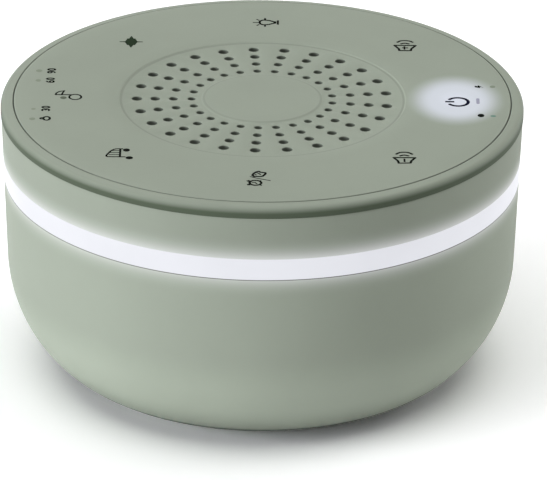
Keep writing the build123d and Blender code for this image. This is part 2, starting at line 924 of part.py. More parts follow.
def socket_tongue():
    width, height, length = tongue_size
    start = socket_mouth - socket_length + socket_back
    return at(0, start + length / 2, socket_axis, Box(width, length, height))


def main_plugs():
    """The plugs on the main board: ribbon, light band, speaker and battery."""
    width, depth, height = plug_block
    return [
        block(0, ribbon_y, main_board_top, width, depth, height),
        block(band_lead_x - lead_radius, rear_plug_y, main_board_top, depth, depth, height),
        block(0, terminal_y, main_board_top, width, depth, height),
        block(battery_plug_x, battery_plug_y, main_board_top, depth, battery_plug_width, height),
    ]


def board_ribbon():
    high = board_bottom - plug_block[2]
    return block(0, ribbon_y, main_plug_top, ribbon[0], ribbon[1], high - main_plug_top)


def speaker_leads():
    """Two leads that bow out between the loudspeaker's terminal and its plug."""
    length = terminal_bottom - main_plug_top
    wires = []
    for x in (-terminal_pitch / 2, terminal_pitch / 2):
        wires.append(lead([
            (x, terminal_y, terminal_bottom),
            (x, terminal_y, terminal_bottom - length / 4),
            (x, terminal_y + speaker_lead_bow, terminal_bottom - length / 2),
            (x, terminal_y, main_plug_top + length / 4),
            (x, terminal_y, main_plug_top),
        ]))
    return wires


os.makedirs("parts", exist_ok=True)

pieces = [
    top_panel, top_rim, upper_wall, light_band, lower_housing, base_cover, foot_ring, base_screws,
    housing_screws, grille_cloth, speaker_gasket, speaker_frame, speaker_screws, speaker_terminal,
    speaker_top_plate, speaker_magnet, speaker_yoke, speaker_cone, dust_cap, coil_former, voice_coil,
    cone_surround, coil_spider, icon_guide, control_board, control_board_screws, touch_pads,
    power_diffuser, power_lights, indicator_lights, control_plug, control_chip,
    light_frame, wall_screws, light_strip, band_lights, band_lead,
    battery_cell, battery_pads, battery_strap, battery_strap_screws, battery_lead,
    main_board, main_board_screws, main_chips, main_plugs, board_ribbon, speaker_leads,
    socket_shell, socket_tongue,
]

for piece in pieces:
    export(piece.__name__, piece())
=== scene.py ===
import math

import bmesh
import bpy
from mathutils import Matrix, Vector
from mathutils.geometry import delaunay_2d_cdt


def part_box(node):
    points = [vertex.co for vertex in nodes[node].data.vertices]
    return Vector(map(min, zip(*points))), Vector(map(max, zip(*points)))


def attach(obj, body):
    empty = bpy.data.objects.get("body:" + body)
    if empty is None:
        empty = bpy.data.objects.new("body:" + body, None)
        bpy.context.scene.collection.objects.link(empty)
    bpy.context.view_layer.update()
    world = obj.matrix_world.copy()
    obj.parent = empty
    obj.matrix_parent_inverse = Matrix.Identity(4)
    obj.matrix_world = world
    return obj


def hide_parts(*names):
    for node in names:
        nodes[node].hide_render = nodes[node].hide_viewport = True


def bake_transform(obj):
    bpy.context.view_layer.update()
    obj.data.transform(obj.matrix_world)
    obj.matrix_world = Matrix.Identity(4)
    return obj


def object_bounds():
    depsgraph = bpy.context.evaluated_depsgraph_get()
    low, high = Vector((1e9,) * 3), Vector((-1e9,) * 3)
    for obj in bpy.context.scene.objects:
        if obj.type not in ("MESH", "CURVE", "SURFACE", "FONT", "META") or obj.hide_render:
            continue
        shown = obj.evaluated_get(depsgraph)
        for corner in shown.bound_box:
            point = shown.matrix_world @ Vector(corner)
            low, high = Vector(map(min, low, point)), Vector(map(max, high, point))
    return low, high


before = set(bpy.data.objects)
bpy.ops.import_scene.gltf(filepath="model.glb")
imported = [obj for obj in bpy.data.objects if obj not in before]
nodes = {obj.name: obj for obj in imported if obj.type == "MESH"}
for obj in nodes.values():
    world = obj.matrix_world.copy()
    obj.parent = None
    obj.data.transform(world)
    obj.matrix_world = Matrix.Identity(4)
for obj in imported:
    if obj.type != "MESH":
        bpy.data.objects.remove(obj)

bpy.context.view_layer.update()
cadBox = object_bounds()
scene = bpy.context.scene
mm = 0.001


def tone(red, green, blue):
    # a colour as a picture shows it, 0 to 255, to the value that a shader takes
    parts = []
    for value in (red, green, blue):
        part = value / 255
        parts.append(part / 12.92 if part <= 0.04045 else ((part + 0.055) / 1.055) ** 2.4)
    return (*parts, 1.0)


def shaded(color, share):
    return tuple(min(1.0, part * share) for part in color[:3]) + (1.0,)


# Finishes


def newFinish(name):
    finish = bpy.data.materials.new(name)
    finish.use_nodes = True
    tree = finish.node_tree
    return finish, tree, tree.nodes["Principled BSDF"]


def fill(node, inputs):
    # links what another node gives, and sets any other value
    for key, value in inputs.items():
        if isinstance(value, bpy.types.NodeSocket):
            node.id_data.links.new(value, node.inputs[key])
        else:
            node.inputs[key].default_value = value


def addNode(tree, kind, inputs=None, **settings):
    node = tree.nodes.new(kind)
    for key, value in settings.items():
        setattr(node, key, value)
    fill(node, inputs or {})
    return node


def objectPlace(tree):
    return addNode(tree, "ShaderNodeTexCoord").outputs["Object"]


def noiseField(tree, place, scale, detail=2.0, roughness=0.5):
    inputs = {"Vector": place, "Scale": scale, "Detail": detail, "Roughness": roughness}
    return addNode(tree, "ShaderNodeTexNoise", inputs).outputs["Fac"]


noiseRange = (0.3, 0.7)  # a noise hardly leaves it


def colorSpread(tree, field, dark, light, ends=noiseRange):
    ramp = addNode(tree, "ShaderNodeValToRGB", {"Fac": field})
    for k, color in enumerate((dark, light)):
        ramp.color_ramp.elements[k].position = ends[k]
        ramp.color_ramp.elements[k].color = color
    return ramp.outputs["Color"]


def remap(tree, field, fromLow, fromHigh, toLow, toHigh, kind="SMOOTHSTEP"):
    inputs = {"Value": field, "From Min": fromLow, "From Max": fromHigh, "To Min": toLow, "To Max": toHigh}
    return addNode(tree, "ShaderNodeMapRange", inputs, interpolation_type=kind).outputs["Result"]


def varied(tree, noise, middle, spread):
    return remap(tree, noise, *noiseRange, middle - spread, middle + spread)


def mathStep(tree, operation, *values):
    return addNode(tree, "ShaderNodeMath", dict(enumerate(values)), operation=operation).outputs[0]


def product(tree, first, *others):
    for other in others:
        first = mathStep(tree, "MULTIPLY", first, other)
    return first


def bump(tree, shader, field, depth):
    node = addNode(tree, "ShaderNodeBump", {"Strength": 1.0, "Distance": depth, "Height": field})
    fill(shader, {"Normal": node.outputs["Normal"]})


shellLook = {
    "color": tone(150, 158, 144),
    "wallPaintedShade": 0.91,  # painted shade: the upper wall painted darker against the bowl
    "topPaintedShade": 0.94,  # painted shade: the panel and the rim painted darker against it
    "footPaintedLight": (1.18, 17.0 * mm, 28.0 * mm),  # painted light from the floor: the bowl's curve is painted lighter: share, where it fades and ends
    "footPaintedShade": (0.76, 4.0 * mm, 13.0 * mm),  # and painted shade makes its foot darker near the floor
    "footEdgeShade": (0.25, 3.1 * mm, 0.4 * mm, 2.2 * mm),  # painted contact shade on its lowest edge: share, height, and the same two
    # a painted shadow line under the band: share, how far below it, where it fades and ends
    "seamShadowLine": (0.3, 0.12 * mm, 0.05 * mm, 0.16 * mm),
    # painted shade on the underside of the rim's rounded edge, as a colour
    "rimPaintedShade": tone(76, 86, 70),
    "rimShadeFade": (63.72 * mm, 65.2 * mm),  # the rounded edge turns from that painted shade colour to the top's
    "topLines": (  # shaded lines on the top: share, radius, and where the shade starts to fade and ends
        (0.6, 57.1 * mm, 0.1 * mm, 0.22 * mm),
        (0.84, 32.45 * mm, 0.12 * mm, 0.42 * mm),
        (0.88, 13.45 * mm, 0.12 * mm, 0.42 * mm),
    ),
    "holeShade": (0.5, 64.9 * mm, 65.15 * mm),  # painted shade inside the sound holes: how dark they are inside
    "variation": 0.025,  # share of the colour that drifts over the surface
    "driftScale": 38.0,
    "roughness": 0.58,
    "roughnessSpread": 0.07,
    "shine": 0.14,  # specular level of the soft-touch surface
    "grainScale": 5200.0,  # per metre, the fine sparked texture
    "grainDepth": 0.010 * mm,
    "bandGlow": tone(228, 224, 235),
    "glowUp": (0.41, 5.2 * mm, 2.5),  # the band's light painted on the wall as a glow: strength, reach and how fast it fades
    "glowDown": (0.335, 5.4 * mm, 3.0),  # and on the bowl below it
    "keyGlow": tone(224, 223, 255),
    "keyGlowStrength": 0.435,
    "keyCoreGlow": 0.085,  # added in the middle of the glow
    "keyPlace": (44.4 * mm, -0.2 * mm),
    "keyHalf": (8.7 * mm, 11.3 * mm),  # where the glow is half as strong
    "keyFade": (0.62, 1.36),  # start and end of the fade, as shares of that
}


def scaledColor(tree, shader, color, level):
    scaled = addNode(tree, "ShaderNodeVectorMath", {0: color, "Scale": level}, operation="SCALE")
    fill(shader, {"Base Color": scaled.outputs[0]})


def flatLength(tree, place):
    # how far a place is from the axis
    flat = addNode(tree, "ShaderNodeVectorMath", {0: place, 1: (1, 1, 0)}, operation="MULTIPLY")
    return addNode(tree, "ShaderNodeVectorMath", {0: flat.outputs[0]}, operation="LENGTH").outputs["Value"]


def distanceFrom(tree, field, centre):
    return mathStep(tree, "ABSOLUTE", mathStep(tree, "SUBTRACT", field, centre))


def fade(tree, field, share, start, end):
    # the share up to the start, and 1 from the end on
    return remap(tree, field, start, end, share, 1.0)


def lineLevel(tree, field, share, centre, start, end):
    # a darker line: the share on it, 1 away from it
    return fade(tree, distanceFrom(tree, field, centre), share, start, end)


def shellPlastic(name, bandEdge=None, bandGlow=None, keyGlow=False, shade=1.0, topSeam=False, rimPaintedShade=False):
    look = shellLook
    finish, tree, shader = newFinish(name)
    place = objectPlace(tree)
    drift = noiseField(tree, place, look["driftScale"], 3.0)
    fine = noiseField(tree, place, look["grainScale"], 2.0, 0.6)
    paint = shaded(look["color"], shade)
    spread = look["variation"]
    base = colorSpread(tree, drift, shaded(paint, 1 - spread), shaded(paint, 1 + spread))
    rough = varied(tree, fine, look["roughness"], look["roughnessSpread"] / 2)
    fill(shader, {"Base Color": base, "Specular IOR Level": look["shine"], "Roughness": rough})
    bump(tree, shader, fine, look["grainDepth"])
    height = addNode(tree, "ShaderNodeSeparateXYZ", {"Vector": place}).outputs["Z"]
    # painted shade inside the sound holes, and painted shade lines at the seam and the recess edges
    if topSeam:
        radius = flatLength(tree, place)
        lines = [lineLevel(tree, radius, *line) for line in look["topLines"]]
        level = product(tree, fade(tree, height, *look["holeShade"]), *lines)
        # the rim gets only the seam's painted shade line, and the painted shade colour low on its rounded
        # edge
        if rimPaintedShade:
            level = lines[0]
            share = remap(tree, height, *look["rimShadeFade"], 0.0, 1.0, "LINEAR")
            # inputs 6 and 7 of this node are its two colours
            colors = {"Factor": share, 6: look["rimPaintedShade"], 7: base}
            base = addNode(tree, "ShaderNodeMix", colors, data_type="RGBA").outputs[2]
        scaledColor(tree, shader, base, level)
    if bandGlow:
        # the light band's glow painted on the part beside it as emission
        strength, reach, power = bandGlow
        near = remap(tree, distanceFrom(tree, height, bandEdge), 0.0, reach, 1.0, 0.0, "LINEAR")
        # the painted shadow line under the band, which also dims the painted glow there
        share, drop, *ends = look["seamShadowLine"]
        line = lineLevel(tree, height, share, bandLow - drop, *ends)
        # painted floor light on the bowl's curve, and painted shade at its foot and lowest edge
        foot = [fade(tree, height, *look[key]) for key in ("footPaintedLight", "footPaintedShade")]
        edge = lineLevel(tree, height, *look["footEdgeShade"])
        scaledColor(tree, shader, base, product(tree, *foot, line, edge))
        glow = product(tree, mathStep(tree, "POWER", near, power), strength, line)
        fill(shader, {"Emission Color": look["bandGlow"], "Emission Strength": glow})
    if keyGlow:
        # the lit power key shines through the panel with a soft oval edge
        mapping = addNode(tree, "ShaderNodeMapping", {
            "Vector": place, "Location": (*look["keyPlace"], 0), "Scale": (*look["keyHalf"], 1),
        }, vector_type="TEXTURE")
        reach = flatLength(tree, mapping.outputs["Vector"])
        near, far = look["keyFade"]
        glow = remap(tree, reach, near, far, look["keyGlowStrength"], 0.0)
        core = remap(tree, reach, 0.0, near, look["keyCoreGlow"], 0.0)
        fill(shader, {
            "Emission Color": look["keyGlow"], "Emission Strength": mathStep(tree, "ADD", glow, core),
        })
    return finish


bandLook = {
    "color": tone(120, 121, 122),
    "glow": tone(231, 232, 239),
    "strength": 0.76,
    "roughness": 0.45,
    "shine": 0.2,
    "cloudScale": 60.0,
    "cloudSpread": 0.03,
}


def bandPlastic():
    look = bandLook
    finish, tree, shader = newFinish("litBandPlastic")
    cloud = noiseField(tree, objectPlace(tree), look["cloudScale"])
    fill(shader, {
        "Base Color": look["color"],
        "Roughness": look["roughness"],
        "Specular IOR Level": look["shine"],
        "Emission Color": look["glow"],
        "Emission Strength": varied(tree, cloud, look["strength"], look["cloudSpread"] / 2),
    })
    return finish


plainLook = {
    "plasticDrift": 180.0,
    "plasticVaries": 0.05,  # how far the roughness varies
    "metalDrift": 160.0,
    "metalShades": (0.9, 1.06),
    "metalVaries": 0.08,
}


def plainPlastic(
    name, color, roughness, grain=0.006, scale=3500.0, spread=0.06, coat=0.0, glow=None, shine=0.5,
):
    finish, tree, shader = newFinish(name)
    place = objectPlace(tree)
    drift = noiseField(tree, place, plainLook["plasticDrift"], 3.0)
    fine = noiseField(tree, place, scale)
    fill(shader, {
        "Base Color": colorSpread(tree, drift, shaded(color, 1 - spread), shaded(color, 1 + spread)),
        "Coat Weight": coat,
        "Specular IOR Level": shine,
        "Roughness": varied(tree, fine, roughness, plainLook["plasticVaries"]),
    })
    bump(tree, shader, fine, grain * mm)
    if glow:
        fill(shader, {"Emission Color": glow[0], "Emission Strength": glow[1]})
    return finish


def plainMetal(name, color, roughness, lineScale=900.0, depth=0.004):
    finish, tree, shader = newFinish(name)
    place = objectPlace(tree)
    lines = noiseField(tree, place, lineScale, 4.0, 0.7)
    drift = noiseField(tree, place, plainLook["metalDrift"])
    dark, light = (shaded(color, share) for share in plainLook["metalShades"])
    fill(shader, {
        "Base Color": colorSpread(tree, drift, dark, light),
        "Metallic": 1.0,
        "Roughness": varied(tree, lines, roughness, plainLook["metalVaries"]),
    })
    bump(tree, shader, lines, depth * mm)
    return finish


weaveLook = {
    "wavePeriod": 0.314,  # the wave texture's scale times the distance from thread to thread
    "waver": 0.4,
    "shades": (0.45, 1.3),  # between the threads and on them
    "ends": (0.1, 0.8),
    "roughness": 0.9,
    "sheen": 0.15,
    "depth": 0.08 * mm,
}


def wovenCloth(name, color, thread=0.45):
    # two sets of threads across each other, one wave texture each
    look = weaveLook
    finish, tree, shader = newFinish(name)
    place = objectPlace(tree)
    waves = []
    for direction in ("X", "Y"):
        inputs = {"Vector": place, "Scale": look["wavePeriod"] / (thread * mm), "Distortion": look["waver"]}
        wave = addNode(tree, "ShaderNodeTexWave", inputs, wave_type="BANDS", bands_direction=direction)
        waves.append(wave.outputs["Fac"])
    weave = product(tree, *waves)
    dark, light = (shaded(color, share) for share in look["shades"])
    fill(shader, {
        "Base Color": colorSpread(tree, weave, dark, light, look["ends"]),
        "Roughness": look["roughness"],
        "Sheen Weight": look["sheen"],
    })
    bump(tree, shader, weave, look["depth"])
    return finish


bandLow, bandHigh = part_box("light_band")[0].z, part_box("light_band")[1].z
# one shell colour in lit and shaded copies: painted shade on the wall and the top, painted floor light and
# shade on the bowl, and the band's glow painted on the bowl and the wall
sageShell = shellPlastic("sageShell", bandLow, shellLook["glowDown"])
sageWall = shellPlastic("sageWall", bandHigh, shellLook["glowUp"], shade=shellLook["wallPaintedShade"])
sagePanel = shellPlastic("sagePanel", keyGlow=True, shade=shellLook["topPaintedShade"], topSeam=True)
sageRim = shellPlastic("sageRim", shade=shellLook["topPaintedShade"], topSeam=True, rimPaintedShade=True)
litBand = bandPlastic()


def ink(name, *color):
    return plainPlastic(name, tone(*color), 0.62, 0.002, 9000.0, 0.05, shine=0.02)


printInk = ink("printInk", 4, 7, 3)
powerInk = ink("powerInk", 8, 8, 30)
starInk = ink("starInk", 32, 45, 30)
dimInk = ink("dimInk", 92, 100, 86)
windowInk = ink("windowInk", 134, 143, 127)
powerWindow = ink("powerWindow", 158, 158, 174)
greenWindow = ink("greenWindow", 106, 136, 124)
print("finishes ready")

# Shared builders


def placed(name, data):
    made = bpy.data.objects.new(name, data)
    scene.collection.objects.link(made)
    return made


def meshObject(name, verts, faces, smooth=True):
    data = bpy.data.meshes.new(name)
    data.from_pydata([tuple(v) for v in verts], [], faces)
    data.update()
    if smooth:
        data.shade_smooth()
    return placed(name, data)


def workObject(name, work):
    data = bpy.data.meshes.new(name)
    work.to_mesh(data)
    work.free()
    return placed(name, data)


def plainMesh(source, tree, values, name):
    # runs a Geometry Nodes tree on the source and keeps the result as a plain mesh
    modifier = source.modifiers.new("shape", "NODES")
    modifier.node_group = tree
    for item in tree.interface.items_tree:
        if item.item_type == "SOCKET" and item.in_out == "INPUT" and item.name in values:
            modifier[item.identifier] = values[item.name]
    graph = bpy.context.evaluated_depsgraph_get()
    data = bpy.data.meshes.new_from_object(source.evaluated_get(graph), depsgraph=graph)
    data.name = name
    bpy.data.objects.remove(source)
    return placed(name, data)


def recalculated(made):
    work = bmesh.new()
    work.from_mesh(made.data)
    bmesh.ops.recalc_face_normals(work, faces=work.faces)
    work.to_mesh(made.data)
    work.free()
    return made


def shapeTree(name, values):
    # a tree that takes a mesh, the named values, a sharp angle and a finish
    tree = bpy.data.node_groups.new(name, "GeometryNodeTree")
    for label, kind in (("Geometry", "Geometry"), *values, ("Sharp Angle", "Float"), ("Finish", "Material")):
        tree.interface.new_socket(label, in_out="INPUT", socket_type="NodeSocket" + kind)
    tree.interface.new_socket("Geometry", in_out="OUTPUT", socket_type="NodeSocketGeometry")
    return tree, tree.nodes.new("NodeGroupInput").outputs, tree.nodes.new("NodeGroupOutput")


def finished(tree, given, leave, shape, gap):
    # points within the gap joined, smooth faces, creases at the sharp angle, and the finish
    merge = addNode(tree, "GeometryNodeMergeByDistance", {"Geometry": shape.outputs[0], "Distance": gap})
    smooth = addNode(tree, "GeometryNodeSetShadeSmooth", {"Geometry": merge.outputs[0]}, domain="FACE")
    angle = addNode(tree, "GeometryNodeInputMeshEdgeAngle").outputs["Unsigned Angle"]
    sharp = addNode(
        tree, "FunctionNodeCompare", {0: angle, 1: given["Sharp Angle"]},
        data_type="FLOAT", operation="GREATER_THAN",
    )
    crease = addNode(tree, "GeometryNodeSetShadeSmooth", {
        "Geometry": smooth.outputs[0], "Selection": sharp.outputs[0], "Shade Smooth": False,
    }, domain="EDGE")
    real = addNode(tree, "GeometryNodeRealizeInstances", {0: crease.outputs[0]})
    inputs = {"Geometry": real.outputs[0], "Material": given["Finish"]}
    fill(leave, {0: addNode(tree, "GeometryNodeSetMaterial", inputs).outputs[0]})
    return tree


def turningTree():
    # turns a closed profile about the axis: a grid whose rows read the profile's points
    tree, given, leave = shapeTree("turning", [("Points", "Int"), ("Segments", "Int")])
    across = mathStep(tree, "ADD", given["Points"], 1.0)
    around = mathStep(tree, "ADD", given["Segments"], 1.0)
    grid = addNode(tree, "GeometryNodeMeshGrid", {"Vertices X": across, "Vertices Y": around})
    index = addNode(tree, "GeometryNodeInputIndex").outputs[0]
    column = mathStep(tree, "FLOOR", mathStep(tree, "DIVIDE", mathStep(tree, "ADD", index, 0.5), around))
    row = mathStep(tree, "SUBTRACT", index, product(tree, column, around))
    sample = addNode(tree, "GeometryNodeSampleIndex", {
        "Geometry": given["Geometry"],
        "Value": addNode(tree, "GeometryNodeInputPosition").outputs[0],
        "Index": mathStep(tree, "MODULO", column, given["Points"]),
    }, data_type="FLOAT_VECTOR", domain="POINT")
    split = addNode(tree, "ShaderNodeSeparateXYZ", {0: sample.outputs[0]}).outputs
    turn = mathStep(tree, "DIVIDE", product(tree, row, 2 * math.pi), given["Segments"])
    joined = addNode(tree, "ShaderNodeCombineXYZ", {
        "X": product(tree, split["X"], mathStep(tree, "COSINE", turn)),
        "Y": product(tree, split["X"], mathStep(tree, "SINE", turn)),
        "Z": split["Z"],
    })
    move = addNode(tree, "GeometryNodeSetPosition", {
        "Geometry": grid.outputs["Mesh"], "Position": joined.outputs[0],
    })
    return finished(tree, given, leave, move, 0.001 * mm)


turning = turningTree()
creases = {"turned": 34.0, "panel": 35.0, "softRing": 40.0}  # edges sharper than this stay sharp, in degrees


def turnedPiece(name, profile, finish, segments):
    # profile: radius and height in millimetres, a closed loop
    verts = [(r * mm, 0, z * mm) for r, z in profile]
    source = meshObject(name + "Profile", verts, [], False)
    values = {
        "Points": len(profile), "Segments": segments,
        "Sharp Angle": math.radians(creases["turned"]), "Finish": finish,
    }
    return recalculated(plainMesh(source, turning, values, name))


def arcPoints(middle, radius, first, last, steps):
    # points on a circle in the profile, angles in degrees from the outward direction
    made = []
    for k in range(steps + 1):
        turn = math.radians(first + (last - first) * k / steps)
        made.append((middle[0] + radius * math.cos(turn), middle[1] + radius * math.sin(turn)))
    return made


def oval(u, v, wide, high, sides=24):
    turns = [2 * math.pi * k / sides for k in range(sides)]
    return [(u + wide / 2 * math.cos(turn), v + high / 2 * math.sin(turn)) for turn in turns]


def dab(u, v, radius, sides):
    return oval(u, v, 2 * radius, 2 * radius, sides)


def quarter(size, first=1):
    # a quarter round in steps of 30 degrees: how far inwards and down each point is
    turns = [math.radians(30 * k) for k in range(first, 4)]
    return [(size * (1 - math.sin(turn)), size * (1 - math.cos(turn))) for turn in turns]


def ringPoint(radius, angle, height):
    return radius * math.cos(angle) * mm, radius * math.sin(angle) * mm, height * mm


def divided(start, end, steps):
    return [
        (start[0] + (end[0] - start[0]) * k / steps, start[1] + (end[1] - start[1]) * k / steps)
        for k in range(1, steps)
    ]


# Casing

casing = {
    "top": cadBox[1].z / mm,
    "rimRadius": cadBox[1].x / mm,
    "panelRadius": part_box("top_panel")[1].x / mm,
    "panelBottom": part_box("grille_cloth")[1].z / mm,
    "rimSeam": 0.2,
    "seamBevel": 0.1,
    "rimRound": 1.35,  # radius of the rim's rounded edge
    "rimDrop": 0.13,  # how much lower than the panel the rim starts
    "rimSlope": 9.0,  # degrees that its top falls outwards
    "rimBevel": 0.12,
    "overhang": 0.12,  # how far the rim stands proud of the wall
    "wallBevel": 0.12,
    "wallTop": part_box("upper_wall")[1].z / mm,
    "wallBottom": bandHigh / mm - 0.15,  # where the light band ends, a little below the CAD's
    "wallLip": 0.08,  # bevel of its lower edge
    "wallThickness": 2.2,
    "draft": 1.9,  # degrees that the wall narrows downwards
    "skirt": (0.2, 1.4, 6.9),  # play, thickness and depth of the rim's clip ring
    "bandEdge": 0.06,  # bevel of the light band's upper edge
    "segments": 320,
}
wallTopRadius = casing["rimRadius"] - casing["overhang"]


def wallRadius(height):
    return wallTopRadius - (casing["wallTop"] - height) * math.tan(math.radians(casing["draft"]))


boreRadius = wallRadius(bandLow / mm) - casing["wallThickness"]


def rimProfile():
    c = casing
    seat = c["panelRadius"] + c["rimSeam"]
    bevel = c["seamBevel"]
    skirtOuter = boreRadius - c["skirt"][0]
    skirtInner = skirtOuter - c["skirt"][1]
    skirtBottom = c["panelBottom"] - c["skirt"][2]
    outer, foot = c["rimRadius"], c["rimBevel"]
    points = [(outer - foot, c["wallTop"]), (skirtOuter, c["wallTop"])]
    points += [(skirtOuter, skirtBottom), (skirtInner, skirtBottom)]
    high, slope = c["top"] - c["rimDrop"], math.radians(c["rimSlope"])
    points += [(skirtInner, c["panelBottom"]), (seat, c["panelBottom"]), (seat, high - bevel)]
    points += [(seat + inward, high - down) for down, inward in quarter(bevel)]
    reach = outer - c["rimRound"] * (1 - math.sin(slope))
    shoulder = (reach, high - (reach - seat - bevel) * math.tan(slope))
    points += divided(points[-1], shoulder, 4)
    crown = (outer - c["rimRound"], shoulder[1] - c["rimRound"] * math.cos(slope))
    points += arcPoints(crown, c["rimRound"], 90 - c["rimSlope"], 0, 14)
    points += divided(points[-1], (outer, c["wallTop"] + foot), 4)
    return points + [(outer, c["wallTop"] + foot)]


def wallProfile():
    c = casing
    bevel = c["wallBevel"]
    shoulder = (wallRadius(c["wallTop"] - bevel), c["wallTop"] - bevel)
    points = [(boreRadius, c["wallTop"]), (boreRadius, c["wallBottom"])]
    points.append((wallRadius(c["wallBottom"]) - c["wallLip"], c["wallBottom"]))
    points.append((wallRadius(c["wallBottom"] + c["wallLip"]), c["wallBottom"] + c["wallLip"]))
    points += divided(points[-1], shoulder, 12)
    return points + arcPoints((shoulder[0] - bevel, shoulder[1]), bevel, 0, 90, 3)


def bandProfile():
    low, high = bandLow / mm, casing["wallBottom"]
    edge = casing["bandEdge"]
    points = [(boreRadius, high), (boreRadius, low), (wallRadius(low), low)]
    points += divided(points[-1], (wallRadius(high - edge), high - edge), 8)
    return points + [(wallRadius(high - edge), high - edge), (wallRadius(high) - edge, high)]


rim = turnedPiece("rolledRim", rimProfile(), sageRim, casing["segments"])
wall = turnedPiece("upperWallShell", wallProfile(), sageWall, casing["segments"])
band = turnedPiece("glowBand", bandProfile(), litBand, casing["segments"])
print("casing turned", len(rim.data.polygons), len(wall.data.polygons), len(band.data.polygons))

# Perforated panel

panelLook = {
    "radius": casing["panelRadius"],
    "top": casing["top"] - 0.02,  # the print stands on it and ends at the frame's top
    "bottom": casing["panelBottom"],
    "bevel": 0.2,
    "recessInner": 13.3,
    "recessRamp": 0.9,
    "recessOuter": 32.6,
    "recessEdge": 0.45,
    "recessDepth": 0.25,
    "wedges": 25,
    "turn": 180.75,  # where the first row of holes points, in degrees
    "rings": [(16.2, 0.95), (20.38, 1.05), (24.56, 1.15), (28.74, 1.25)],  # ring radius and hole radius
    "holeSides": 24,
    "open": 0.97,  # triangles with their middle within this share of a hole's radius are left out
    "lip": 0.05,
    "arcSteps": 14,
    "innerRows": [0.0, 4.0, 9.0],  # radii of the mesh's rows inside and outside the recess
    "outerRows": [37.0, 42.0, 47.0, 52.0],
    "weld": 1e-6,
}


def panelHeight(radius):
    look = panelLook
    depth = look["recessDepth"]
    if radius <= look["recessInner"] or radius >= look["recessOuter"] + look["recessEdge"]:
        return look["top"]
    if radius < look["recessInner"] + look["recessRamp"]:
        share = (radius - look["recessInner"]) / look["recessRamp"]
    elif radius > look["recessOuter"]:
        share = (look["recessOuter"] + look["recessEdge"] - radius) / look["recessEdge"]
    else:
        share = 1.0
    return look["top"] - depth * (3 * share ** 2 - 2 * share ** 3)


def wedgeArc(radius, height):
    look = panelLook
    half = math.pi / look["wedges"]
    steps = look["arcSteps"]
    return [ringPoint(radius, half * (2 * k / steps - 1), height) for k in range(steps + 1)]


def panelWedge():
    # one wedge of the panel, from the middle to the edge, with its four holes
    look = panelLook
    work = bmesh.new()
    made = {}

    def vertex(point):
        key = tuple(round(part * 1e7) for part in point)
        if key not in made:
            made[key] = work.verts.new(point)
        return made[key]

    def face(points):
        corners = []
        for point in points:
            corner = vertex(point)
            if corner not in corners:
                corners.append(corner)
        if len(corners) > 2:
            work.faces.new(corners)

    def skin(outline):
        # faces between each radius and height and the next
        arcs = [wedgeArc(*pair) for pair in outline]
        for near, far in zip(arcs, arcs[1:]):
            for k in range(look["arcSteps"]):
                face([near[k], far[k], far[k + 1], near[k + 1]])

    def perforated(low, high, height, lip, upward):
        outline = wedgeArc(low, height)[::-1] + wedgeArc(high, height)
        coords = [Vector((p[0] / mm, p[1] / mm)) for p in outline]
        count = len(coords)
        edges = [(k, (k + 1) % count) for k in range(count)]
        for radius, hole in look["rings"]:
            start, sides = len(coords), look["holeSides"]
            coords += [Vector(p) for p in dab(radius, 0, hole + lip, sides)]
            edges += [(start + k, start + (k + 1) % sides) for k in range(sides)]
        verts, _, faces, *_ = delaunay_2d_cdt(coords, edges, [], 1, look["weld"])
        for corners in faces:
            x = sum(verts[k].x for k in corners) / 3
            y = sum(verts[k].y for k in corners) / 3
            if any(math.hypot(x - radius, y) < (hole + lip) * look["open"] for radius, hole in look["rings"]):
                continue
            points = [(verts[k].x * mm, verts[k].y * mm, height * mm) for k in corners]
            face(points if upward else points[::-1])

    floor = look["top"] - look["recessDepth"]
    inner = look["recessInner"] + look["recessRamp"]
    outer = look["recessOuter"]
    radii = look["innerRows"] + [look["recessInner"] + look["recessRamp"] * k / 5 for k in range(6)]
    skin([(radius, panelHeight(radius)) for radius in radii])
    perforated(inner, outer, floor, look["lip"], True)
    radii = [outer + look["recessEdge"] * k / 4 for k in range(5)] + look["outerRows"]
    radii.append(look["radius"] - look["bevel"])
    skin([(radius, panelHeight(radius)) for radius in radii])
    edge = [(look["radius"] - look["bevel"], look["top"])]
    edge += [(look["radius"] - inward, look["top"] - down) for inward, down in quarter(look["bevel"])]
    skin(edge + [(look["radius"], look["bottom"]), (outer, look["bottom"])])
    perforated(inner, outer, look["bottom"], 0.0, False)
    skin([(radius, look["bottom"]) for radius in (inner, look["recessInner"], 0.0)])
    # the hole walls, with a rounded lip at the top
    sides = look["holeSides"]
    for radius, hole in look["rings"]:
        levels = [(hole + outward, floor - down) for outward, down in quarter(look["lip"], 0)]
        circles = [
            [(x * mm, y * mm, height * mm) for x, y in dab(radius, 0, size, sides)]
            for size, height in levels + [(hole, look["bottom"])]
        ]
        for upper, lower in zip(circles, circles[1:]):
            for k in range(sides):
                n = (k + 1) % sides
                face([upper[k], upper[n], lower[n], lower[k]])
    bmesh.ops.remove_doubles(work, verts=work.verts, dist=look["weld"])
    return workObject("panelWedge", work)


def fanTree():
    # repeats the wedge round the axis and welds the copies into one panel
    tree, given, leave = shapeTree("wedgesRound", [("Count", "Int"), ("Turn", "Float")])
    points = addNode(tree, "GeometryNodePoints", {"Count": given["Count"]})
    index = addNode(tree, "GeometryNodeInputIndex").outputs[0]
    step = mathStep(tree, "DIVIDE", 2 * math.pi, given["Count"])
    turn = mathStep(tree, "ADD", product(tree, index, step), given["Turn"])
    copies = addNode(tree, "GeometryNodeInstanceOnPoints", {
        "Points": points.outputs[0],
        "Instance": given["Geometry"],
        "Rotation": addNode(tree, "ShaderNodeCombineXYZ", {"Z": turn}).outputs[0],
    })
    real = addNode(tree, "GeometryNodeRealizeInstances", {0: copies.outputs[0]})
    return finished(tree, given, leave, real, 0.003 * mm)


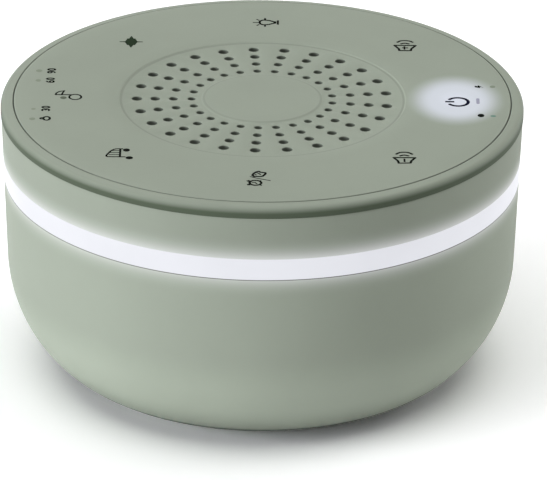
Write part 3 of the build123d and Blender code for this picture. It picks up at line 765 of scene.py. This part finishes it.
panel = recalculated(plainMesh(panelWedge(), fanTree(), {
    "Count": panelLook["wedges"], "Turn": math.radians(panelLook["turn"]),
    "Sharp Angle": math.radians(creases["panel"]), "Finish": sagePanel,
}, "perforatedPanel"))
print("panel", len(panel.data.polygons))

# Printed symbols
# Each is drawn in its own plane, right along the panel's +Y and up along its -X


def bentLine(points, steps):
    # a smooth line through the points
    made = []
    for k in range(len(points) - 1):
        before = points[max(k - 1, 0)]
        start, end = points[k], points[k + 1]
        after = points[min(k + 2, len(points) - 1)]
        for s in range(steps):
            t = s / steps
            point = []
            for a, b, c, d in zip(before, start, end, after):
                bent = (2 * a - 5 * b + 4 * c - d) * t ** 2 + (3 * b - a - 3 * c + d) * t ** 3
                point.append(0.5 * (2 * b + (c - a) * t + bent))
            made.append(tuple(point))
    return made + [points[-1]]


def pen(points, width, closed=False):
    # a drawn line as overlapping bars with round joints
    shapes = []
    ends = points + [points[0]] if closed else points
    for (u, v), (s, t) in zip(ends, ends[1:]):
        length = math.hypot(s - u, t - v)
        if length < 1e-6:
            continue
        a, b = -(t - v) / length * width / 2, (s - u) / length * width / 2
        shapes.append([(u - a, v - b), (s - a, t - b), (s + a, t + b), (u + a, v + b)])
    shapes += [dab(u, v, width / 2, 10) for u, v in (points if closed else points[1:-1])]
    return shapes


inkDepth = 0.06


def printedPiece(name, shapes, place, finish):
    # joins the flat shapes into one outline and gives it the ink's thickness
    high = casing["top"]
    coords, faces = [], []
    for shape in shapes:
        area = sum(a[0] * b[1] - b[0] * a[1] for a, b in zip(shape, shape[1:] + shape[:1]))
        points = shape if area > 0 else shape[::-1]
        faces.append(list(range(len(coords), len(coords) + len(points))))
        coords += [Vector(p) for p in points]
    verts, _, triangles, _, _, sources = delaunay_2d_cdt(coords, [], faces, 1, 1e-5)
    work = bmesh.new()
    tops = [work.verts.new(((place[0] - v.y) * mm, (place[1] + v.x) * mm, high * mm)) for v in verts]
    for corners, drawn in zip(triangles, sources):
        if drawn:  # the inside of a ring belongs to no drawn shape and stays open
            work.faces.new([tops[k] for k in corners])
    bmesh.ops.dissolve_limit(work, angle_limit=0.01, verts=work.verts, edges=work.edges)
    bmesh.ops.triangulate(work, faces=work.faces)
    loose = [v for v in work.verts if not v.link_faces]
    bmesh.ops.delete(work, geom=loose, context="VERTS")
    base = work.faces[:]
    border = [e for e in work.edges if len(e.link_faces) == 1]
    copied = bmesh.ops.duplicate(work, geom=base)
    twin = {a: b for a, b in copied["vert_map"].items()}
    for vert in copied["geom"]:
        if isinstance(vert, bmesh.types.BMVert):
            vert.co.z = (high - inkDepth) * mm
    for edge in border:
        a, b = edge.verts
        work.faces.new([a, b, twin[b], twin[a]])
    bmesh.ops.recalc_face_normals(work, faces=work.faces)
    made = workObject(name, work)
    made.data.materials.append(finish)
    return made


inkWidth = {"line": 0.56, "thin": 0.45, "digit": 0.46, "power": 0.76}


def moved(shapes, u, v):
    return [[(a + u, b + v) for a, b in shape] for shape in shapes]


def mirrored(points):
    # the other three quarters of a shape that is drawn from the top to the right
    half = points + [(u, -v) for u, v in reversed(points)]
    return half + [(-u, v) for u, v in reversed(half)]


digitLook = {"half": 0.46, "reach": 0.83, "pitch": 1.56}  # half the width and the height, and the spacing


def digit(sign):
    w = inkWidth["digit"]
    half, reach = digitLook["half"], digitLook["reach"]
    if sign == "0":
        return pen(oval(0, 0, 2 * half, 2 * reach, 18), w, True)
    if sign == "3":
        upper = arcPoints((-0.04, reach - half), half, 155, -80, 9)
        lower = arcPoints((-0.04, half - reach), half, 80, -155, 9)
        return pen(upper + lower, w)
    loop = pen(dab(0, reach - half, half, 14), w, True)
    tail = pen(bentLine([(half, reach - half), (half - 0.04, -0.1), (0.18, -0.6), (-0.3, -reach)], 4), w)
    if sign == "9":
        return loop + tail
    return [[(-a, -b) for a, b in shape] for shape in loop + tail]  # a six is a nine turned round


def number(signs):
    shapes = []
    for k, sign in enumerate(signs):
        shapes += moved(digit(sign), (k - (len(signs) - 1) / 2) * digitLook["pitch"], 0)
    return shapes


def starShapes():
    # a sparkle with two long thin rays and a stepped, diamond-like core
    return [mirrored([
        (0.16, 2.72), (0.22, 1.5), (0.56, 1.33), (1.15, 1.15),
        (1.9, 0.95), (1.95, 0.53), (2.32, 0.42), (3.34, 0.08),
    ])]


def bulbShapes():
    w = inkWidth["line"]
    side = [(0, 1.28), (0.62, 1.2), (1.0, 0.98), (1.38, 0.5)]
    right = bentLine(side + [(1.42, 0.0), (1.2, -0.9), (0.55, -1.95), (0.42, -2.4)], 4)
    shapes = pen(right + [(-u, v) for u, v in reversed(right)], w, True)
    shapes.append([(-0.55, -2.5), (0.55, -2.5), (0.45, -1.95), (-0.45, -1.95)])
    shapes.append([(-1.33, -3.27), (1.33, -3.27), (1.2, -2.77), (-1.2, -2.77)])
    shapes += pen([(-0.08, 1.4), (-0.08, 2.88)], 0.34)
    shapes += pen([(1.22, 1.35), (1.78, 2.03)], 0.36) + pen([(-1.33, 1.38), (-1.93, 1.98)], 0.36)
    for way in (-1, 1):
        shapes += pen([(way * 1.5, 0), (way * 2.55, 0)], 0.48)
    return shapes


def speakerShapes(plus):
    # a loudspeaker seen from the side, its wide end to the right, with two sound arcs
    w = inkWidth["line"]
    if plus:
        horn = [(1.5, 2.5), (1.5, -2.5), (-0.45, -1.47), (-1.57, -1.3), (-1.57, 1.35), (-0.45, 1.5)]
        marks = pen([(0.05, -0.7), (0.05, 0.7)], 0.5) + pen([(-0.95, 0.15), (0.95, 0.15)], 0.4)
        near = [(2.36, 1.0), (2.84, 0), (2.38, -1.0)]
        far = [(3.27, 1.85), (4.2, 0.98), (4.36, 0.08), (4.2, -0.98), (3.37, -1.92)]
    else:
        horn = [(1.42, 2.43), (1.45, -2.45), (-0.28, -1.55), (-1.45, -1.32), (-1.6, 1.27), (-0.27, 1.5)]
        marks = pen([(-0.93, 0), (0.81, 0)], 0.43)
        near = [(2.38, 1.02), (2.82, 0), (2.38, -1.02)]
        far = [(3.25, 1.9), (4.2, 0.98), (4.39, 0), (4.2, -0.98), (3.25, -1.9)]
    shapes = pen(horn, w, True) + marks
    for arc in (near, far):
        shapes += pen(bentLine(arc, 5), w)
    return shapes


def noteShapes():
    w = inkWidth["thin"]
    shapes = pen(oval(0, 0, 2.95, 2.76), w, True)
    shapes += pen([(1.25, 0.9), (1.25, 4.57)], w)
    leaf = [(1.25, 4.57), (2.2, 4.4), (3.1, 3.7), (3.5, 2.6), (2.6, 2.9), (1.6, 3.1), (1.25, 3.0)]
    return shapes + pen(leaf, 0.4, True)


def lockShapes():
    w = inkWidth["thin"]
    shapes = pen(oval(0, 0, 2.0, 1.5, 16), w + 0.06, True)
    return shapes + pen([(-0.35, 0.7)] + arcPoints((0, 1.1), 0.35, 180, 0, 6) + [(0.35, 0.7)], w)


def pairedNoteShapes():
    # two notes joined by a broad beam with lines inside it
    beam = [(-1.75, 2.75), (-1.18, 3.03), (0.3, 2.5), (1.58, 1.95), (2.3, 1.35), (2.62, 0.6), (2.6, -0.69)]
    shapes = pen([(-1.75, -1.32)] + bentLine(beam, 4), inkWidth["thin"])
    shapes += pen([(2.46, -0.05), (-1.73, -0.05)], 0.5)
    for line in ([(0.5, 2.3), (0.62, 0.0)], [(-0.58, 2.5), (-0.5, 0.0)], [(1.55, 1.75), (1.72, 0.0)]):
        shapes += pen(line, 0.3)
    shapes.append(oval(1.97, -1.43, 1.68, 1.57))
    shapes.append(oval(-2.25, -2.18, 1.57, 1.67))
    return shapes


def pairShapes():
    # a bean, a slanted line and a small clock with two bells
    w = inkWidth["line"]
    bean = [
        (1.53, 1.96), (2.58, 1.62), (3.35, 1.07), (3.64, 0.56), (3.13, 0.13), (3.04, -0.38), (2.95, -0.89),
        (2.43, -0.98), (1.81, -0.73), (0.97, -0.31), (0.85, 0.29), (0.83, 1.06), (0.82, 1.57),
    ]
    shapes = pen(bean, w, True)
    shapes += pen([(3.0, 1.07), (2.4, 0.47), (1.79, 0.08)], 0.36) + pen([(2.07, 1.36), (1.56, 1.06)], 0.36)
    shapes += pen([(0.8, 2.51), (-0.09, 0.97), (-0.77, -0.74), (-1.35, -2.11)], 0.3)
    shapes += pen(dab(-2.55, 1.25, 1.3, 22), w, True)
    shapes += pen([(-1.79, 3.12), (-1.36, 2.49)], 0.7) + pen([(-3.53, 3.11), (-3.51, 2.4)], 0.7)
    shapes += pen([(-4.07, -0.12), (-3.3, 0.26)], 0.36) + pen([(-1.21, 0.1), (-1.82, 0.2)], 0.36)
    return shapes + pen([(-2.48, 2.06), (-2.36, 1.38), (-3.17, 0.86)], 0.32)


def powerShapes():
    w = inkWidth["power"]
    return pen(arcPoints((0, 0), 2.35, 120, 420, 44), w) + pen([(0.08, 0.84), (0.08, 2.93)], w)


def boltShapes():
    return [[
        (-0.3, 1.0), (0.55, 1.0), (0.22, 0.28), (0.85, 0.28), (-0.5, -1.0), (-0.1, -0.22), (-0.78, -0.22),
    ]]


def spot(radius):
    return [dab(0, 0, radius, 20)]


powerLight = pen([(-1.22, 0), (1.22, 0)], 0.76) + moved(spot(0.38), -1.22, 0) + moved(spot(0.38), 1.22, 0)
symbols = [
    ("starSymbol", starShapes(), (-30.9, 32.05), starInk),
    ("lampSymbol", bulbShapes(), (0.4, 44.45), printInk),
    ("louderSymbol", speakerShapes(True), (33.25, 29.9), printInk),
    ("quieterSymbol", speakerShapes(False), (32.08, -34.1), printInk),
    ("soundSymbol", noteShapes(), (-42.9, -0.47), printInk),
    ("ninetyMark", number("90"), (-48.89, 14.5), printInk),
    ("sixtyMark", number("60"), (-48.98, 9.05), printInk),
    ("thirtyMark", number("30"), (-49.4, -7.2), printInk),
    ("lockSymbol", lockShapes(), (-49.0, -12.75), printInk),
    ("songsSymbol", pairedNoteShapes(), (-31.8, -31.9), printInk),
    ("timerSymbol", pairShapes(), (0.0, -44.5), printInk),
    ("powerSymbol", powerShapes(), (44.87, -1.24), powerInk),
    ("chargeSymbol", boltShapes(), (49.95, 7.6), printInk),
    ("batteryMark", [oval(0, 0, 1.9, 1.55)], (49.94, -8.85), printInk),
    ("soundLightMark", spot(0.75), (-45.6, -0.95), dimInk),
    ("powerLightMark", powerLight, (49.46, -0.7), powerWindow),
    ("fullLightMark", [oval(0, 0, 1.0, 1.28)], (52.73, -9.1), greenWindow),
    ("chargeLightMark", spot(0.65), (53.06, 7.65), windowInk),
    ("ninetyLightMark", spot(0.73), (-51.78, 14.5), windowInk),
    ("sixtyLightMark", spot(0.63), (-51.76, 8.9), windowInk),
    ("thirtyLightMark", spot(0.5), (-52.21, -7.46), windowInk),
    ("lockLightMark", spot(0.69), (-52.24, -13.06), windowInk),
]
prints = [printedPiece(name, shapes, place, finish) for name, shapes, place, finish in symbols]
print("symbols", len(prints))

# Cloth behind the holes

clothLook = {"radius": 30.6, "low": 63.6, "high": 63.9, "thread": 0.42, "color": tone(34, 36, 33)}


def clothProfile():
    look = clothLook
    points = [(0.0, look["high"]), (0.0, look["low"])]
    points += divided(points[-1], (look["radius"], look["low"]), 12)
    points += [(look["radius"], look["low"]), (look["radius"], look["high"])]
    return points + divided(points[-1], (0.0, look["high"]), 12)


cloth = turnedPiece(
    "grilleCloth", clothProfile(), wovenCloth("grilleWeave", clothLook["color"], clothLook["thread"]), 96,
)

# Finishes of the pieces that stay as the CAD made them

metalLook = tone(196, 198, 201)
finishes = {
    "sage_shell": sageShell,
    "band_diffuser": litBand,
    "foot_rubber": plainPlastic("footRubber", tone(58, 62, 57), 0.78, 0.02, 2600.0),
    "screw_steel": plainMetal("screwSteel", tone(170, 172, 175), 0.32),
    "grille_cloth": wovenCloth("clothSpare", clothLook["color"]),
    "foam": plainPlastic("blackFoam", tone(40, 40, 40), 0.95, 0.12, 1100.0),
    "basket_paint": plainPlastic("basketPaint", tone(32, 32, 35), 0.42, 0.01, 2400.0, coat=0.15),
    "plate_steel": plainMetal("plateSteel", metalLook, 0.34),
    "ferrite": plainPlastic("ferrite", tone(60, 60, 63), 0.7, 0.02, 1900.0),
    "cone_paper": plainPlastic("conePaper", tone(46, 46, 46), 0.9, 0.05, 900.0),
    "former_foil": plainMetal("formerFoil", tone(214, 214, 217), 0.22),
    "coil_copper": plainMetal("coilCopper", tone(205, 126, 78), 0.25, 2600.0),
    "surround_rubber": plainPlastic("surroundRubber", tone(30, 30, 31), 0.55, 0.01, 2200.0),
    "spider_cloth": wovenCloth("spiderWeave", tone(196, 160, 96), 0.5),
    "terminal_board": plainPlastic("terminalBoard", tone(150, 104, 66), 0.7, 0.02, 1500.0),
    "guide_black": plainPlastic("guideBlack", tone(28, 28, 28), 0.6),
    "board_green": plainPlastic("boardGreen", tone(24, 104, 58), 0.3, 0.008, 800.0, coat=0.4),
    "chip_black": plainPlastic("chipBlack", tone(26, 26, 27), 0.5, 0.01, 4000.0),
    "light_lens": plainPlastic("lightLens", tone(246, 240, 214), 0.2, 0.002, 3000.0, coat=0.5),
    "power_glow": plainPlastic("powerGlow", tone(238, 238, 250), 0.4, glow=(tone(222, 222, 250), 0.8)),
    "frame_white": plainPlastic("frameWhite", tone(244, 244, 241), 0.4, 0.006, 3000.0, 0.03),
    "plug_white": plainPlastic("plugWhite", tone(240, 236, 226), 0.45, 0.006, 3000.0, 0.03),
    "cell_wrap": plainPlastic("cellWrap", tone(40, 92, 150), 0.28, 0.01, 700.0, coat=0.3),
    "lead_red": plainPlastic("leadRed", tone(178, 26, 24), 0.38, 0.01, 1600.0),
    "ribbon_grey": plainPlastic("ribbonGrey", tone(208, 208, 210), 0.4, 0.01, 1500.0),
    "socket_metal": plainMetal("socketMetal", tone(226, 226, 229), 0.18, 1400.0, 0.002),
}
for node in nodes.values():
    for slot in node.material_slots:
        slot.material = finishes[slot.material.name.split(".")[0]]
print("finishes on", len(nodes), "nodes")

# The loudspeaker's soft rings, in sectors between the basket and the cone

softRings = {
    "sectors": 12,
    "steps": 5,
    # still and moving are the radii where the basket's side of the bend starts and the cone's side ends it
    "surround": {"seat": 24.2, "roll": 1.8, "gauge": 0.4, "lip": 19.4, "still": 23.37, "moving": 21.0},
    "spider": {
        "seat": 15.6, "neck": 6.75, "gauge": 0.3, "waves": 4, "rise": 0.5, "still": 15.05, "moving": 8.0,
    },
}


def surroundProfile(foot, edge):
    look = softRings["surround"]
    middle, inner = look["seat"] - look["roll"], look["roll"] - look["gauge"]
    top = foot + look["gauge"]
    lean = math.degrees(math.asin(look["gauge"] / look["roll"]))
    under = arcPoints((middle, foot), inner, 180, 0, 12)
    over = arcPoints((middle, foot), look["roll"], lean, 180 - lean, 12)
    return [(look["lip"], foot)] + under + [(edge, foot), (edge, top)] + over + [(look["lip"], top)]


def spiderProfile(foot, edge):
    look = softRings["spider"]
    steps = 8 * look["waves"]
    lower = [(edge, foot)]
    for k in range(steps + 1):
        radius = look["seat"] - (look["seat"] - look["neck"]) * k / steps
        wave = (1 - math.cos(2 * math.pi * k * look["waves"] / steps)) / 2
        lower.append((radius, foot + look["rise"] * wave))
    return lower + [(r, z + look["gauge"]) for r, z in reversed(lower)]


def softSector(name, profile, number):
    turn = 2 * math.pi / softRings["sectors"]
    steps = softRings["steps"]
    count = len(profile)
    verts = []
    for k in range(steps + 1):
        angle = turn * (number - 0.5 + k / steps)
        verts += [ringPoint(r, angle, z) for r, z in profile]
    faces = [tuple(range(count)), tuple(range(steps * count, (steps + 1) * count))]
    for k in range(steps):
        for i in range(count):
            low, high = k * count + i, k * count + (i + 1) % count
            faces.append((low, high, high + count, low + count))
    made = recalculated(meshObject(name + str(number), verts, faces, False))
    made.data.shade_smooth()
    made.data.set_sharp_from_angle(angle=math.radians(creases["softRing"]))
    return made


for node, kind, shape, slot in (
    ("cone_surround", "surround", surroundProfile, "surround_rubber"),
    ("coil_spider", "spider", spiderProfile, "spider_cloth"),
):
    look = softRings[kind]
    corner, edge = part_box(node)
    profile = shape(corner.z / mm, edge.x / mm)
    for number in range(softRings["sectors"]):
        piece = softSector(kind, profile, number)
        piece.data.materials.append(finishes[slot])
        angle = 2 * math.pi * number / softRings["sectors"]
        ends = [
            (look[key] * math.cos(angle) * mm, look[key] * math.sin(angle) * mm, corner.z)
            for key in ("still", "moving")
        ]
        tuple(ends[0])
        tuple(ends[1])
        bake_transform(piece)
        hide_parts(node)
print("soft rings", softRings["sectors"] * 2)

# What moves with what

for piece, stood in ((panel, "top_panel"), (rim, "top_rim"), (wall, "upper_wall"), (band, "light_band"),
                     (cloth, "grille_cloth")):
    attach(piece, "housing")
    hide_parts(stood)
for piece in prints:
    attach(piece, "housing")

# Floor, light and camera

floorLook = {"half": 6.0, "color": 0.96, "seen": 1.24}


def rayLevel(tree, lit, seen):
    # one level for the light that the object gets, another for what the camera and mirrored rays see
    path = addNode(tree, "ShaderNodeLightPath").outputs
    rays = mathStep(tree, "MAXIMUM", path["Is Camera Ray"], path["Is Glossy Ray"])
    rays = mathStep(tree, "MAXIMUM", rays, path["Is Transmission Ray"])
    return remap(tree, rays, 0.0, 1.0, lit, seen, "LINEAR")


def whiteFloor():
    finish, tree, shader = newFinish("whiteFloor")
    level = rayLevel(tree, floorLook["color"], floorLook["seen"])
    paint = addNode(tree, "ShaderNodeCombineColor", dict.fromkeys(("Red", "Green", "Blue"), level))
    fill(shader, {"Base Color": paint.outputs["Color"], "Roughness": 1.0, "Specular IOR Level": 0.0})
    return finish


half = floorLook["half"]
corners = [(-half, -half, 0), (half, -half, 0), (half, half, 0), (-half, half, 0)]
floor = meshObject("floor", corners, [(0, 1, 2, 3)])
floor.data.materials.append(whiteFloor())

lightLook = {
    "world": 0.03,
    "lamps": [
        # name, azimuth (0 is the camera's side, 90 the left), elevation, strength, width in degrees, colour
        ("keyLamp", 65.0, 8.0, 3.96, 45.0, (0.95, 0.96, 1.0)),
        ("rearLamp", 240.0, 8.0, 1.9, 45.0, (1.0, 1.0, 1.0)),
        ("topLamp", 0.0, 88.0, 2.06, 73.0, (1.0, 1.0, 1.0)),
    ],
}


def studioWorld():
    world = bpy.data.worlds.new("studio")
    world.use_nodes = True
    tree = world.node_tree
    level = rayLevel(tree, lightLook["world"], 1.0)
    fill(tree.nodes["Background"], {"Color": (1, 1, 1, 1), "Strength": level})
    scene.world = world


studioWorld()
for name, azimuth, elevation, strength, width, color in lightLook["lamps"]:
    lamp = placed(name, bpy.data.lights.new(name, "SUN"))
    lamp.data.energy = strength
    lamp.data.color = color
    lamp.data.angle = math.radians(width)
    a, e = math.radians(azimuth), math.radians(elevation)
    toward = Vector((-math.sin(a) * math.cos(e), -math.cos(a) * math.cos(e), math.sin(e)))
    lamp.rotation_euler = toward.to_track_quat("Z", "Y").to_euler()

shot = {
    "aim": Vector((0.00288, -0.013693, 0.035926)),
    "distance": 1.3538,
    "pitch": 25.03,
    "roll": 0.54,
    "lens": 388.29,
    "sensor": 36.0,
}
camera = placed("camera", bpy.data.cameras.new("camera"))
camera.data.lens = shot["lens"]
camera.data.sensor_width = shot["sensor"]
down = math.radians(shot["pitch"])
away = Vector((0, -math.cos(down), math.sin(down)))
turn = Matrix.Rotation(math.radians(90) - down, 4, "X") @ Matrix.Rotation(math.radians(shot["roll"]), 4, "Z")
camera.matrix_world = Matrix.Translation(shot["aim"] + away * shot["distance"]) @ turn
scene.camera = camera

scene.view_settings.view_transform = "Standard"
print("stage set")
